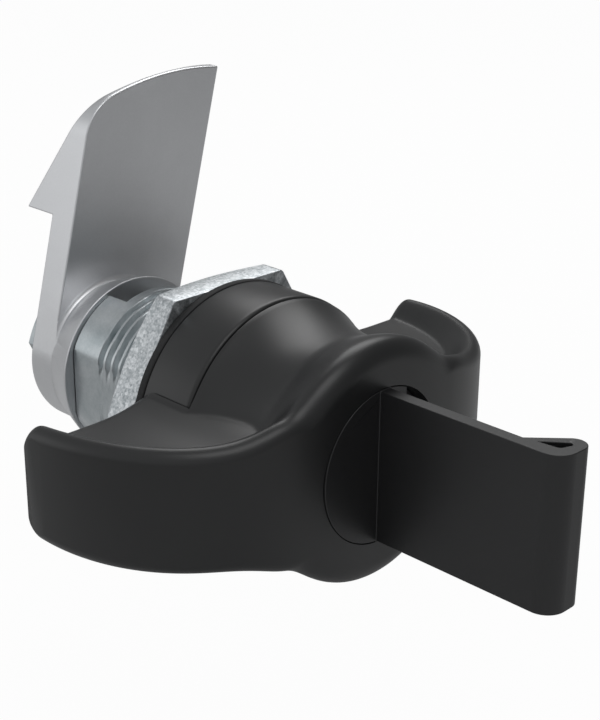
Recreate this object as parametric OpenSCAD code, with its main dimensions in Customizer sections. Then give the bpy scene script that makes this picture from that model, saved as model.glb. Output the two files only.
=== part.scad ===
// Quarter-turn cam latch with a winged knob and a keyed lock.
// The turning axis is Y: the knob is towards -Y, the cam towards +Y, and +Z is up.
// The origin is the centre of the panel cut-out, on the panel's outer face.

/* [Panel seat] */
// Radius of the threaded sleeve that passes through the panel
sleeve_r = 11; // [10.8:0.05:11.2]
// Width across the two flats of the sleeve
sleeve_flats = 20.1; // [19.8:0.1:20.6]
// Distance from the panel face to the rear end of the sleeve
sleeve_len = 17.95; // [17.5:0.05:19]
// How far the rubber gasket stands out beyond the collar
gasket_proud = 0.1; // [0:0.05:0.5]
// Thickness of the rubber gasket
gasket_t = 1.03; // [0.8:0.01:1.5]
// Radius of the black collar
collar_r = 15.35; // [15.2:0.05:15.6]
// Distance from the panel face to the front edge of the collar
collar_front = 8.6; // [8.4:0.1:9.2]
// Wall of the collar
collar_wall = 0.9; // [0.7:0.1:1]

/* [Nut] */
// Width across the flats of the nut
nut_flats = 30; // [28:0.5:32]
// Thickness of the nut
nut_t = 4.1; // [3.5:0.1:6]

/* [Housing inside] */
// Radius of the bore that the spindle turns in
bore_r = 8.05; // [7.8:0.05:8.3]
// Radius of the cup that holds the spindle head
cup_r = 12.4; // [12.2:0.1:12.6]
// Depth of the cup floor in front of the panel face
cup_floor = 3.4; // [3.2:0.1:3.8]
// Radius of the recess behind the spindle bore
rear_recess_r = 9.2; // [9:0.1:9.4]
// Place of the shoulder that the wave washer pushes on
rear_shoulder = 9.4; // [8:0.2:10]
// Angle, from +X towards +Z, at which the stop notch starts
stop_from = 2; // [0:1:6]
// Angle that the cam's stop lug covers
stop_lug_angle = 19; // [12:1:24]
// Turning range of the knob
turn_range = 90; // [80:1:95]
// Depth of the stop notch, from the end of the sleeve
stop_depth = 3.55; // [3:0.05:4.2]

/* [Knob] */
// Half of the length over both wings
wing_reach = 30.9; // [29:0.1:36]
// Distance from the panel face to the knob's front face
knob_front = 24.9; // [24.5:0.1:30]
// Distance from the panel face to the back of the wings
wing_back = 1; // [0.5:0.1:1.5]
// Half height of the wings along their front edge
wing_edge_h = 7.15; // [6:0.05:8.5]
// Half height of the wings behind that edge
wing_waist_h = 4.7; // [4.4:0.1:5.2]
// Radius of the hub at its front edge
hub_edge_r = 14.4; // [14:0.1:16]
// Radius of the hub at its waist
hub_waist_r = 13.1; // [13:0.1:14]
// How much smaller the hub is than the collar where they meet
hub_skirt_step = 0.15; // [0:0.05:0.3]
// How much lower the wings' rim is at the back of the tips
tip_fall = 0.6; // [0:0.1:2]
// Rounding of the wings' front edge
edge_round = 1.4; // [1:0.1:3]
// Rounding of the hub's front edge
hub_edge_round = 2.6; // [1.4:0.1:3.2]
// Rounding of the rear edge of the wings
back_round = 0.9; // [0.5:0.1:2.2]
// Radius of the round mouth in the front face
mouth_r = 9.27; // [9:0.01:9.6]
// Depth of the round mouth
mouth_depth = 3.2; // [3:0.1:4]
// Half height of the hollow in the back of each wing
core_half_h = 2.1; // [1.6:0.1:2.3]
// Depth of the hollow in the back of each wing
core_depth = 12; // [8:0.5:13]

/* [Spindle] */
// Radius of the round spindle
shaft_r = 8; // [7.75:0.05:8.25]
// Radius of the spindle head
head_r = 12.1; // [11.9:0.05:12.2]
// Thickness of the thrust washer
thrust_t = 0.5; // [0.4:0.1:0.8]
// Width across the square end of the spindle
square_w = 11; // [10:0.1:11.2]
// Distance from the axis to each knob screw
knob_screw_at = 9.3; // [9.2:0.05:9.4]
// Radius of the knob screw's thread
knob_screw_r = 1.25; // [1:0.05:1.3]
// Radius of the knob screw's head
knob_screw_head_r = 2.2; // [1.9:0.1:2.2]

/* [Lock] */
// Radius of the turning lock plug
plug_r = 6; // [5.8:0.05:6.1]
// Outer radius of the lock barrel
barrel_r = 7.5; // [7.4:0.05:7.6]
// Radius of the barrel's rear flange
barrel_flange_r = 12; // [11.5:0.1:12.2]
// Thickness of the barrel's rear flange
barrel_flange_t = 2; // [1.5:0.1:2.5]
// Offset of the drive pin from the axis
drive_offset = 2; // [1.6:0.1:2.2]
// Radius of the drive pin
drive_pin_r = 1.2; // [1:0.1:1.4]
// Number of wafers in the plug
wafer_count = 5; // [3:1:5]
// Spacing of the wafers
wafer_pitch = 1.9; // [1.7:0.05:1.95]
// Thickness of one wafer
wafer_t = 0.9; // [0.7:0.05:1]
// Travel of a wafer when the key leaves
wafer_travel = 0.8; // [0.5:0.05:0.85]
// Width of the locking bolt
bolt_w = 8; // [6:0.5:9]

/* [Key] */
// Thickness of the key's flat handle
grip_t = 1.6; // [1.4:0.1:2]
// Distance from the knob's front face to the end of the key
grip_len = 24.2; // [18:0.2:30]
// Width of the looped end of the key
loop_w = 5.4; // [5:0.1:7]
// Length of the looped end of the key
loop_len = 6.1; // [5.6:0.1:8]
// Thickness of the round foot
foot_t = 2.2; // [2:0.1:3]
// Width of the part of the foot beside the handle
foot_side = 3.6; // [2.5:0.1:5]
// Height of the key blade
blade_h = 6.4; // [5:0.1:6.6]
// Length of the key blade behind the foot
blade_len = 12; // [11:0.1:12.1]

/* [Cam] */
// Angle of the arm from upright, seen from the front
cam_angle = 14.2; // [0:0.1:30]
// Half width of the arm
arm_half_w = 9.9; // [9:0.1:10.2]
// Radius of the round lower end of the arm
arm_foot_r = 9.7; // [9:0.1:10]
// Thickness of the arm
arm_t = 4.4; // [3.5:0.1:5]
// Reach of the arm's long corner, from the axis
arm_reach = 40; // [36:0.5:50]
// Radius of the curved top edge
arm_top_r = 41.5; // [36:0.5:50]
// Rounding of the short corner
arm_corner_r = 6.5; // [3:0.5:8]
// Radius of the cam's boss at its front rim
boss_r = 11.4; // [11.2:0.1:12]
// Radius of the boss where it meets the arm
boss_rear_r = 10.1; // [9.8:0.1:11]
// Length of the boss in front of the arm
boss_len = 4.75; // [4:0.05:6]
// Distance from the axis to the step of the hook
hook_at = 19.4; // [16:0.1:22]
// Height of the hook behind the arm
hook_h = 5.25; // [3:0.05:6]
// Thickness of the arm at its top edge
tip_t = 0.9; // [0.6:0.1:1.5]
// Slant of the hook and the ramp across the arm
hook_slant = 21.7; // [10:0.1:26]

/* [Cam screw] */
// Radius of the cam screw's thread
cam_screw_r = 3; // [2.5:0.1:3.5]
// Width across the flats of the cam screw's head
cam_screw_flats = 10; // [8:0.5:12]
// Radius of the plain washer
cam_washer_r = 8.8; // [8.2:0.1:9.5]
// Thickness of the plain washer
cam_washer_t = 1.2; // [0.8:0.1:2]

/* [Hidden] */
$fn = 96;
eps = 0.01;
far = 60;

// Clearances
run_gap = 0.05;
face_gap = 0.1;
skirt_gap = 0.3;
clamp_gap = 0.3;
boss_seat = 0.85;
wall_gap = 0.2;
foot_gap = 0.07;
key_gap = 0.15;
snug_gap = 0.02;
end_gap = 0.5;
pin_gap = 0.3;

// Places along the axis
collar_back = -gasket_t;
hub_back = -collar_front - skirt_gap;
head_back = -cup_floor - thrust_t - face_gap;
boss_front = sleeve_len + face_gap;
arm_front = boss_front + boss_len;
arm_back = arm_front + arm_t;
shaft_end = boss_front + boss_seat;
square_end = arm_back - clamp_gap;

// Sizes that follow the collar
gasket_r = collar_r + gasket_proud;
hub_skirt_r = collar_r - hub_skirt_step;

// Housing
collar_lip_t = 0.3;
flange_r = collar_r - collar_wall - run_gap;
flange_front = -collar_front + collar_lip_t;
lip_r = cup_r + wall_gap;
stop_play = 0.5;
stop_to = stop_from + stop_lug_angle + turn_range + 2 * stop_play;
stop_lug_r = sleeve_r - 0.4;

// Lock
foot_r = mouth_r - foot_gap;
foot_back = -knob_front + foot_t;
plug_front = foot_back + face_gap;
mouth_floor = -knob_front + mouth_depth;
plug_face_t = mouth_depth - foot_t - face_gap - face_gap;
barrel_front = mouth_floor;
barrel_back = hub_back - face_gap;
clip_t = 0.6;
clip_rim = 1.3;
clip_room = 1.6;
ring_groove = 0.75;
clip_groove_r = plug_r - ring_groove;
clip_recess = 1;
seal_from = plug_front + plug_face_t + key_gap;
seal_wire_r = 0.34;
clip_front = barrel_back - clip_recess + face_gap;
wafer_w = 7;
wafer_room = 0.7;
wafer_first = barrel_front + 1.1;
wafer_r = plug_r - run_gap;
groove_out = wafer_r + wafer_travel + wall_gap;
ear_w = 1.1;
ear_from = 0.8;
ear_h = 1;
spring_r = 0.42;
spring_wire_r = 0.09;
spring_low = -2.9;
spring_turns = 3;
bolt_front = hub_back + face_gap;
bolt_t = 3;
bolt_back = bolt_front + bolt_t;
bolt_tail = 6;
bolt_tip_r = head_r - run_gap;
bolt_travel = drive_offset;
drive_pin_end = bolt_back - pin_gap;
pin_play = 0.55;

// Knob surface
plan_power = 3.25;
depth_power = 2.05;
blend_power = 6;
knob_depth = knob_front - wing_back;
rim_flat = 1.5;
rim_fall = 3.8;
hub_rim_flat = 2.2;
hub_rim_fall = 6.8;
root_rise = 1.8;
waist_rise = 2.9;
fall_power = 4;
root_at = 12;
root_spread = 5;
skirt_from = -knob_front + 7.9;
tip_zone = 5.2;
tip_slices = 8;
wing_slices = 6;
root_zone = 16;
hub_zone = 10;
hub_slices = 7;
front_steps = 6;
mid_steps = 11;
back_steps = 4;
core_root_wall = 2.4;
core_tip_wall = 4.2;

// Helpers: everything round here turns about the Y axis

module rod(r, from, to)
    translate([0, from, 0]) rotate([-90, 0, 0]) cylinder(r = r, h = to - from);

module ring(inner, outer, from, to)
    difference() {
        rod(outer, from, to);
        rod(inner, from - 1, to + 1);
    }

module turned()
    rotate([-90, 0, 0]) rotate_extrude() children();

// Draws a flat shape in the XZ plane and gives it a depth along Y
module slab(from, to)
    translate([0, to, 0]) rotate([90, 0, 0]) linear_extrude(to - from) children();

module sector(from, to, reach = far)
    polygon(concat([[0, 0]], [for (i = [0 : 8]) let (a = from + (to - from) * i / 8) reach * [cos(a), sin(a)]]));

// Joins a row of rings, each with the same number of points, into one skin
module skin(rings, closed = false) {
    n = len(rings[0]);
    m = len(rings);
    last = closed ? m - 1 : m - 2;
    sides = [for (i = [0 : last], j = [0 : n - 1])
        let (a = i * n + j, b = i * n + (j + 1) % n, c = ((i + 1) % m) * n + (j + 1) % n, d = ((i + 1) % m) * n + j)
        each [[a, b, c], [a, c, d]]];
    caps = closed ? [] : [[for (j = [n - 1 : -1 : 0]) j], [for (j = [0 : n - 1]) (m - 1) * n + j]];
    polyhedron(points = [for (ring = rings) each ring], faces = concat(sides, caps), convexity = 6);
}

// Fixed pieces

nut_cone = 1.1;
nut_cone_r = nut_flats / 2 + 2.6;

module housing()
    color("#a6adaf") difference() {
        union() {
            rod(flange_r, flange_front, collar_back);
            intersection() {
                rod(sleeve_r, collar_back - eps, sleeve_len);
                translate([-sleeve_flats / 2, collar_back - 1, -far / 2]) cube([sleeve_flats, far, far]);
            }
        }
        rod(bore_r, flange_front - 1, far);
        rod(cup_r, flange_front - 1, -cup_floor);
        rod(rear_recess_r, rear_shoulder, far);
        slab(sleeve_len - stop_depth, sleeve_len + 1) sector(stop_from, stop_to);
        bolt_slots();
    }

// Room for the locking bolt at both ends of the knob's turn
module bolt_slots()
    for (turn = [0, -turn_range]) rotate([0, turn, 0])
        translate([-bolt_w / 2 - wall_gap, hub_back - 1, 0])
            cube([bolt_w + 2 * wall_gap, bolt_back + wall_gap - hub_back + 1, far / 2]);

collar_edge = 0.25;
collar_rear_edge = 0.12;

module collar()
    color("#2b2b2d") difference() {
        turned() difference() {
            polygon([[lip_r, -collar_front], [collar_r - collar_edge, -collar_front],
                     [collar_r, -collar_front + collar_edge], [collar_r, collar_back - collar_rear_edge],
                     [collar_r - collar_rear_edge, collar_back], [lip_r, collar_back]]);
            translate([0, flange_front - eps]) square([flange_r + run_gap, far]);
        }
        intersection() {
            bolt_slots();
            rod(flange_r, -collar_front - 1, flange_front);
        }
    }

module panel_gasket()
    color("#1f1f20") ring(sleeve_r + face_gap, gasket_r, -gasket_t, 0);

module hex_nut()
    color("#b4babb") difference() {
        intersection() {
            slab(0, nut_t) circle(r = nut_flats / sqrt(3), $fn = 6);
            turned() polygon([[0, 0], [nut_cone_r, 0], [nut_cone_r, nut_t - nut_cone],
                              [nut_flats / 2, nut_t], [0, nut_t]]);
        }
        rod(sleeve_r + run_gap, -1, nut_t + 1);
    }

module thrust_washer()
    color("#d8d6cc") ring(bore_r + wall_gap, cup_r - 2 * wall_gap, -cup_floor - thrust_t, -cup_floor);

// Winged knob: a skin laid over slices that stand side by side along X
// How far a quarter round of a given radius drops at a distance from its edge
function round_drop(radius, dist) =
    dist >= radius ? 0 : radius - sqrt(max(0, radius * radius - pow(radius - max(0, dist), 2)));
// Seen from above the front is a superellipse: its depth, and how much longer than the gap a step along Y is
function plan_depth(x) = knob_depth * pow(1 - pow(abs(x) / wing_reach, plan_power), 1 / depth_power);
function plan_slope(x) = plan_power / depth_power * pow(abs(x) / wing_reach, plan_power - 1)
    * knob_depth / wing_reach * pow(1 - pow(abs(x) / wing_reach, plan_power), 1 / depth_power - 1);
// Distance of a place, at a depth in front of the wings' back, from the front outline
function edge_dist(x, depth) =
    let (u = abs(x) / wing_reach, v = depth / knob_depth)
    max(0, 1 - pow(u, plan_power) - pow(v, depth_power))
        / norm([plan_power / wing_reach * pow(u, plan_power - 1), depth_power / knob_depth * pow(v, depth_power - 1)]);
// One along the rim, none behind it
function rim_share(dist, flat, fall) = (1 + cos(180 * max(0, min(1, (dist - flat) / fall)))) / 2;
function half_height(x, depth) =
    let (dist = edge_dist(x, depth), y = -wing_back - depth, back_drop = round_drop(back_round, depth),
         root = exp(-pow(max(0, abs(x) - root_at) / root_spread, 2)),
         skirt = pow(max(0, min(1, (y - skirt_from) / (hub_back - skirt_from))), 2),
         hub = hub_waist_r + (hub_edge_r - hub_waist_r) * rim_share(dist, hub_rim_flat, hub_rim_fall)
             + (hub_skirt_r - hub_waist_r) * skirt - round_drop(hub_edge_round, dist) - back_drop,
         low = wing_waist_h + waist_rise * root,
         high = wing_edge_h + root_rise * root - tip_fall * pow(1 - depth / knob_depth, fall_power),
         wing = low + (high - low) * rim_share(dist, rim_flat, rim_fall) - round_drop(edge_round, dist) - back_drop)
    pow(pow(max(0, hub * hub - x * x), blend_power / 2) + pow(wing, blend_power), 1 / blend_power);
function slice_depths(x) =
    let (full = plan_depth(x), front = min(hub_edge_round * norm([1, plan_slope(x)]), full / 2),
         back = min(back_round, full / 4), middle = full - front - back)
    concat([for (i = [0 : front_steps]) full - front * (1 - cos(90 * i / front_steps))],
           [for (i = [1 : mid_steps - 1]) full - front - middle * i / mid_steps],
           [for (i = [back_steps : -1 : 0]) back * (1 - cos(90 * i / back_steps))]);
function slice_ring(x) =
    let (top = [for (depth = slice_depths(x)) [x, -wing_back - depth, half_height(x, depth)]])
    concat(top, [for (i = [len(top) - 1 : -1 : 0]) [x, top[i][1], -top[i][2]]]);

module knob_form() {
    side = concat([for (i = [1 : tip_slices]) wing_reach - tip_zone * (1 - cos(90 * i / tip_slices))],
                  [for (i = [1 : wing_slices]) wing_reach - tip_zone
                      - (wing_reach - tip_zone - root_zone) * i / wing_slices],
                  [for (i = [1 : hub_slices]) root_zone - (root_zone - hub_zone) * i / hub_slices],
                  [for (i = [1 : hub_slices - 1]) hub_zone * (1 - i / hub_slices)]);
    skin(concat([for (x = side) slice_ring(-x)], [slice_ring(0)],
                [for (i = [len(side) - 1 : -1 : 0]) slice_ring(side[i])]));
}

module wing_core() {
    near = collar_r + skirt_gap + core_root_wall;
    tip = wing_reach - core_tip_wall;
    slab(-wing_back - core_depth, 1) {
        translate([near, -core_half_h]) square([tip - core_half_h - near, 2 * core_half_h]);
        translate([tip - core_half_h, 0]) circle(r = core_half_h);
    }
}

module wing_knob()
    color("#2d2d2e") difference() {
        knob_form();
        rod(collar_r + skirt_gap, hub_back, far);
        rod(mouth_r, -far, mouth_floor);
        rod(barrel_r + run_gap, -far, hub_back + 1);
        rod(barrel_flange_r + run_gap, barrel_back - barrel_flange_t - run_gap, hub_back + 1);
        wing_core();
        mirror([1, 0, 0]) wing_core();
        for (side = [-1, 1]) translate([side * knob_screw_at, 0, 0])
            rod(knob_screw_r + snug_gap, barrel_back - knob_screw_len - end_gap, hub_back + 1);
    }

// Turning pieces on the spindle

o_ring_at = 2.5;
o_ring_wire_r = 0.55;
o_ring_groove = 0.8;
clip_groove_depth = 0.65;
circlip_t = 1;
circlip_from = rear_shoulder + 1.7;
circlip_ear_at = 0.25;
circlip_ear_r = 0.35;
knob_screw_head_t = 1.9;
knob_screw_sink = 0.3;
knob_screw_seat = head_back - knob_screw_head_t - knob_screw_sink;
knob_screw_len = 6.5;
knob_screw_socket_r = 1;
knob_screw_socket = 1;
cam_screw_len = 13;
wave_gap = 0.15;
wave_rise = 0.4;
wave_wire_t = 0.3;

module spindle()
    color("#b9bcbe") difference() {
        union() {
            rod(head_r, hub_back, head_back);
            rod(shaft_r, head_back - eps, shaft_end);
            translate([-square_w / 2, shaft_end - eps, -square_w / 2])
                cube([square_w, square_end - shaft_end + eps, square_w]);
        }
        channel_w = bolt_w + 2 * face_gap;
        translate([-channel_w / 2, hub_back - 1, -bolt_tail - end_gap])
            cube([channel_w, bolt_back + face_gap - hub_back + 1, far]);
        for (side = [-1, 1]) translate([side * knob_screw_at, 0, 0]) {
            rod(knob_screw_r + face_gap, hub_back - 1, head_back + 1);
            rod(knob_screw_head_r + face_gap, knob_screw_seat, head_back + 1);
        }
        ring(shaft_r - 2 * o_ring_wire_r - run_gap, shaft_r + 1, o_ring_at - o_ring_groove, o_ring_at + o_ring_groove);
        ring(shaft_r - clip_groove_depth, shaft_r + 1, circlip_from, circlip_from + circlip_t);
        rod(cam_screw_r + run_gap, square_end - cam_screw_len - end_gap, far);
    }

module knob_screws()
    color("#8f9497") for (side = [-1, 1]) translate([side * knob_screw_at, 0, 0]) difference() {
        union() {
            rod(knob_screw_head_r, knob_screw_seat, knob_screw_seat + knob_screw_head_t);
            rod(knob_screw_r, barrel_back - knob_screw_len, knob_screw_seat + eps);
        }
        slab(knob_screw_seat + knob_screw_head_t - knob_screw_socket, head_back)
            circle(r = knob_screw_socket_r, $fn = 6);
    }

module spindle_o_ring()
    color("#1c1c1c") turned() translate([shaft_r - o_ring_wire_r, o_ring_at]) circle(r = o_ring_wire_r, $fn = 32);

// A thin ring that rises and falls three times in one turn
module wave_washer() {
    inner = shaft_r + wave_gap;
    outer = rear_recess_r - wave_gap;
    mid = rear_shoulder + run_gap + wave_rise + wave_wire_t / 2;
    color("#9aa0a3") skin([for (i = [0 : 47]) let (a = i * 7.5, y = mid + wave_rise * sin(3 * a))
        [for (c = [[inner, 1], [outer, 1], [outer, -1], [inner, -1]])
            [c[0] * cos(a), y + c[1] * wave_wire_t / 2, c[0] * sin(a)]]], closed = true);
}

module retaining_ring()
    color("#6f7578") slab(circlip_from, circlip_from + circlip_t) difference() {
        circle(r = rear_recess_r - 2 * wave_gap);
        circle(r = shaft_r - clip_groove_depth + eps);
        sector(248, 292);
        for (a = [238, 302]) translate((shaft_r + circlip_ear_at) * [cos(a), sin(a)])
            circle(r = circlip_ear_r, $fn = 24);
    }

// Cam: a plate arm with a slanted hook behind, and a round boss in front

arm_top_x = 14.7;
arm_tip_z = sqrt(arm_reach * arm_reach - arm_half_w * arm_half_w);
arm_top_z = arm_tip_z - sqrt(arm_top_r * arm_top_r - pow(arm_top_x - arm_half_w, 2));
corner_x = -arm_half_w + arm_corner_r;
corner_z = arm_top_z + sqrt(pow(arm_top_r - arm_corner_r, 2) - pow(corner_x - arm_top_x, 2));
corner_dir = [corner_x - arm_top_x, corner_z - arm_top_z] / (arm_top_r - arm_corner_r);
corner_touch = [corner_x, corner_z] + corner_dir * arm_corner_r;
ramp_end = 33.7;
edge_end = ramp_end + 8;
boss_edge = 0.3;
boss_core_r = 9;

module arm_outline()
    difference() {
        union() {
            circle(r = arm_foot_r);
            intersection() {
                translate([-arm_half_w, 0]) square([2 * arm_half_w, far]);
                translate([arm_top_x, arm_top_z]) circle(r = arm_top_r, $fn = 180);
            }
        }
        difference() {
            polygon([[corner_x, corner_z], [-arm_half_w - 1, corner_z], [-arm_half_w - 1, arm_reach],
                     [corner_touch[0], arm_reach], corner_touch]);
            translate([corner_x, corner_z]) circle(r = arm_corner_r);
        }
    }

// Side view of the arm, hook and ramp, as points (depth, distance along the arm)
module arm_side()
    polygon([[arm_front, -far / 2], [arm_back, -far / 2], [arm_back, hook_at], [arm_back + hook_h, hook_at],
             [arm_front + tip_t, ramp_end], [arm_front + tip_t, edge_end], [arm_front, edge_end]]);

module cam()
    color("#8b8c8e") difference() {
        union() {
            rotate([0, cam_angle, 0]) intersection() {
                slab(arm_front - 1, arm_back + hook_h + 1) arm_outline();
                rotate([0, -hook_slant, 0]) translate([-far, 0, 0])
                    rotate([90, 0, 90]) linear_extrude(2 * far) arm_side();
            }
            turned() polygon([[0, boss_front], [boss_r - boss_edge, boss_front], [boss_r, boss_front + boss_edge],
                              [boss_rear_r, arm_front], [boss_core_r, arm_front], [boss_core_r, arm_front + 1],
                              [0, arm_front + 1]]);
            slab(sleeve_len - stop_depth + face_gap, boss_front + 1) intersection() {
                difference() {
                    circle(r = stop_lug_r);
                    circle(r = rear_recess_r);
                }
                sector(stop_from + stop_play, stop_from + stop_play + stop_lug_angle);
            }
        }
        rod(shaft_r + run_gap, 0, shaft_end);
        side = square_w + run_gap;
        translate([-side / 2, 0, -side / 2]) cube([side, far, side]);
    }

module cam_washer()
    color("#b8bdbf") ring(cam_screw_r + wall_gap, cam_washer_r, arm_back, arm_back + cam_washer_t);

lock_washer_t = 1.5;
lock_washer_r = cam_screw_r + 2.4;
lock_washer_slit = 0.7;
screw_head_t = 4;
screw_head_edge = 0.5;

module cam_lock_washer()
    color("#9fa5a8") slab(arm_back + cam_washer_t, arm_back + cam_washer_t + lock_washer_t) difference() {
        circle(r = lock_washer_r);
        circle(r = cam_screw_r + face_gap);
        rotate(60) translate([0, -lock_washer_slit / 2]) square([2 * lock_washer_r, lock_washer_slit]);
    }

module cam_screw() {
    head_from = arm_back + cam_washer_t + lock_washer_t;
    head_to = head_from + screw_head_t;
    flat_r = cam_screw_flats / 2;
    color("#aab0b3") {
        intersection() {
            slab(head_from, head_to) circle(r = cam_screw_flats / sqrt(3), $fn = 6);
            turned() polygon([[0, head_from], [flat_r * 1.2, head_from], [flat_r * 1.2, head_to - screw_head_edge],
                              [flat_r - face_gap, head_to], [0, head_to]]);
        }
        rod(cam_screw_r, square_end - cam_screw_len, head_from + eps);
    }
}

// Lock

module lock_barrel()
    color("#9c9489") difference() {
        union() {
            rod(barrel_r, barrel_front, barrel_back);
            rod(barrel_flange_r, barrel_back - barrel_flange_t, barrel_back);
        }
        rod(plug_r + run_gap, barrel_front - 1, barrel_back + 1);
        rod(plug_r + clip_room, barrel_back - clip_recess, barrel_back + 1);
        for (turn = [0, 90]) rotate([0, turn, 0])
            translate([-wafer_w / 2 - face_gap, wafer_first - wafer_room, -groove_out])
                cube([wafer_w + 2 * face_gap, (wafer_count - 1) * wafer_pitch + wafer_t + 2 * wafer_room,
                      2 * groove_out]);
        for (side = [-1, 1]) translate([side * knob_screw_at, 0, 0])
            rod(knob_screw_r + face_gap, barrel_front - 1, barrel_back + 1);
    }

module at_wafers()
    for (i = [0 : wafer_count - 1]) translate([0, wafer_first + i * wafer_pitch, 0]) children();

module lock_plug()
    color("#8d8f91") difference() {
        union() {
            rod(foot_r, plug_front, plug_front + plug_face_t);
            rod(plug_r, plug_front + eps, barrel_back);
            translate([-drive_offset, 0, 0]) rod(drive_pin_r, barrel_back - eps, drive_pin_end);
        }
        translate([-grip_t / 2 - key_gap, plug_front - 1, -blade_h / 2 - key_gap])
            cube([grip_t + 2 * key_gap, blade_len + 1 + wall_gap, blade_h + 2 * key_gap]);
        at_wafers() {
            translate([-wafer_w / 2 - run_gap, -run_gap, -plug_r - 1])
                cube([wafer_w + 2 * run_gap, wafer_t + 2 * run_gap, 2 * plug_r + 2]);
            translate([0, -run_gap, spring_low - face_gap])
                cube([wafer_w / 2 + ear_w + key_gap, wafer_t + 2 * run_gap,
                      ear_from + ear_h + wafer_travel + face_gap - spring_low]);
        }
        ring(clip_groove_r, plug_r + 1, clip_front, clip_front + clip_t + run_gap);
        ring(clip_groove_r, plug_r + 1, seal_from, seal_from + ring_groove);
    }

module plug_o_ring()
    color("#1c1c1c") turned()
        translate([plug_r - seal_wire_r - eps, seal_from + ring_groove / 2]) circle(r = seal_wire_r, $fn = 24);

module plug_clip()
    color("#6f7578") slab(clip_front + snug_gap, clip_front + clip_t) difference() {
        circle(r = plug_r + clip_rim);
        circle(r = clip_groove_r + snug_gap);
        sector(60, 120);
    }

module wafers()
    color("#c2a35a") at_wafers() difference() {
        union() {
            slab(0, wafer_t) intersection() {
                circle(r = wafer_r);
                square([wafer_w, 2 * plug_r], center = true);
            }
            translate([wafer_w / 2 - eps, 0, ear_from]) cube([ear_w, wafer_t, ear_h]);
        }
        window_low = -blade_h / 2 - wafer_travel - wall_gap;
        translate([-grip_t / 2 - wall_gap, -1, window_low])
            cube([grip_t + 2 * wall_gap, wafer_t + 2, blade_h / 2 + wall_gap - window_low]);
    }

module wafer_springs() {
    height = ear_from - run_gap - spring_low - 2 * spring_wire_r;
    turn_steps = 8;
    wire_sides = 3;
    steps = turn_steps * spring_turns;
    color("#b9bcbe") at_wafers()
        translate([wafer_w / 2 + ear_w / 2, wafer_t / 2, spring_low + spring_wire_r])
            skin([for (i = [0 : steps]) let (a = i * 360 / turn_steps, c = [cos(a), sin(a)])
                [for (k = [0 : wire_sides - 1])
                    let (b = k * 360 / wire_sides, r = spring_r - spring_wire_r + spring_wire_r * cos(b))
                    [r * c[0], r * c[1], height * i / steps + spring_wire_r * sin(b)]]]);
}

module lock_bolt()
    color("#b9bcbe") difference() {
        intersection() {
            translate([-bolt_w / 2, bolt_front, -bolt_tail]) cube([bolt_w, bolt_t, far]);
            rod(bolt_tip_r, bolt_front - 1, bolt_back + 1);
        }
        slot_h = drive_pin_r + pin_play;
        translate([-drive_offset - drive_pin_r - pin_gap, bolt_front - 1, -slot_h])
            cube([drive_offset + 2 * (drive_pin_r + pin_gap), bolt_t + 2, 2 * slot_h]);
    }

// Key: a flat handle with a folded loop at its end, on a round foot

grip_face = grip_t / 2;
grip_end = -knob_front - grip_len;
grip_root_r = 1.2;
loop_round = grip_t - face_gap;
loop_centre = [loop_w - grip_face - loop_round, grip_end + loop_round];
loop_seam = [grip_face, grip_end + loop_len];
loop_touch = atan2(loop_seam[1] - loop_centre[1], loop_seam[0] - loop_centre[0])
    - acos(loop_round / norm(loop_seam - loop_centre));
eye_side = 0.15;
eye_round = 0.7;
eye_from = 1.9;
blade_root = 0.4;
cut_side = 0.7;

// Outline of the handle seen from above: the handle runs along -Y and the loop lies to its +X side
module grip_outline() {
    translate([-grip_face, loop_centre[1]]) square([grip_t, grip_len - loop_round + blade_root]);
    translate([loop_round - grip_face, loop_centre[1]]) circle(r = loop_round, $fn = 48);
    translate(loop_centre) circle(r = loop_round, $fn = 48);
    difference() {
        polygon([[-grip_face, loop_centre[1]], [loop_round - grip_face, grip_end], [loop_centre[0], grip_end],
                 loop_centre + loop_round * [cos(loop_touch), sin(loop_touch)], loop_seam,
                 [-grip_face, loop_seam[1]]]);
        polygon([loop_seam + [eye_side, -eye_from], loop_centre + [-eye_side, 3 * eye_side],
                 loop_centre - [eye_round, 0], [grip_face + eye_round, loop_centre[1]],
                 [grip_face + eye_side, loop_centre[1] + eye_round]]);
    }
}

// Small round at the root of the handle, on the plain side of the foot
module grip_root()
    difference() {
        translate([-grip_face - grip_root_r, -knob_front - grip_root_r])
            square([grip_root_r + face_gap, grip_root_r + face_gap]);
        translate([-grip_face - grip_root_r, -knob_front - grip_root_r]) circle(r = grip_root_r, $fn = 48);
    }

module key_head()
    color("#2b2b2c") difference() {
        union() {
            translate([0, 0, -foot_r]) linear_extrude(2 * foot_r) grip_outline();
            intersection() {
                translate([0, 0, -foot_r]) linear_extrude(2 * foot_r) grip_root();
                rod(foot_r, -far, foot_back);
            }
            difference() {
                rod(foot_r, -knob_front, foot_back);
                translate([foot_side, -far, -far / 2]) cube([far, far, far]);
            }
        }
        translate([-grip_face, foot_back - foot_t + blade_root, -blade_h / 2]) cube([grip_t, foot_t, blade_h]);
    }

module key_blade()
    color("#b9bcbe") difference() {
        translate([-grip_face, foot_back - foot_t + blade_root, -blade_h / 2])
            cube([grip_t, blade_len + foot_t - blade_root, blade_h]);
        at_wafers() translate([0, wafer_t / 2, -blade_h / 2])
            rotate([45, 0, 0]) cube([far, cut_side, cut_side], center = true);
    }

housing();
collar();
panel_gasket();
hex_nut();
thrust_washer();
wing_knob();
spindle();
knob_screws();
spindle_o_ring();
wave_washer();
retaining_ring();
cam();
cam_washer();
cam_lock_washer();
cam_screw();
lock_barrel();
lock_plug();
plug_clip();
plug_o_ring();
wafers();
wafer_springs();
lock_bolt();
key_head();
key_blade();
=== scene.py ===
"""Quarter-turn cam latch: the looks of every piece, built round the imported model.

The turning axis is Y, with the knob towards -Y and the cam towards +Y, and Z is up.
Sizes are in millimetres until a mesh is made, because that is how the parts are drawn.
"""

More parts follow.
